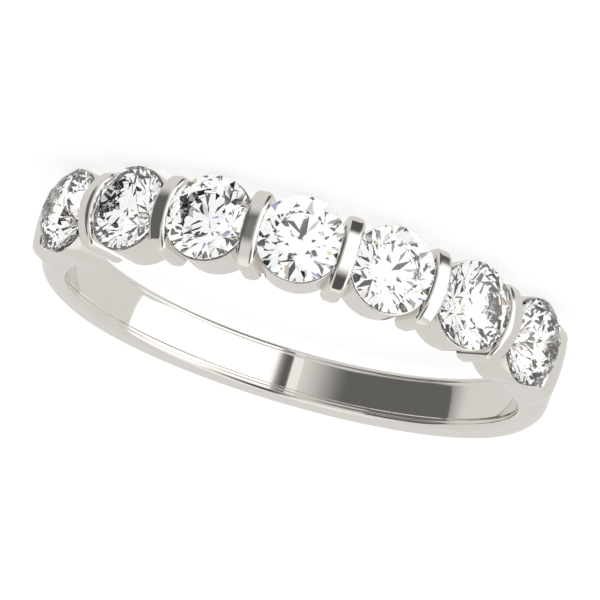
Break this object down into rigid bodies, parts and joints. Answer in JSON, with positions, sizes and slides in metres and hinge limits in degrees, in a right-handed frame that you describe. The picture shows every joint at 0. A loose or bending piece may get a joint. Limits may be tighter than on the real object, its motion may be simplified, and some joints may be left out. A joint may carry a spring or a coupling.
{
  "type": "bar set band",
  "caption": "Narrow white-metal finger ring whose front is a row of round cut stones held between upright bars, tapering to the back.",
  "frame": {"origin": "middle of the finger hole, on its axis and halfway across the ring", "axes": "+Z along the finger axis, the ring lying on its side; -Y out through the middle stone; +X towards stone_1, which is at the picture's left"},
  "size_m": [0.02, 0.0209, 0.0032],
  "materials": {
    "white_gold": "high polish",
    "diamond": "faceted and polished, colourless"
  },
  "bodies": {
    "root": {"band": "white_gold", "stone_1": "diamond", "stone_2": "diamond", "stone_3": "diamond", "stone_4": "diamond", "stone_5": "diamond", "stone_6": "diamond", "stone_7": "diamond"}
  },
  "joints": []
}
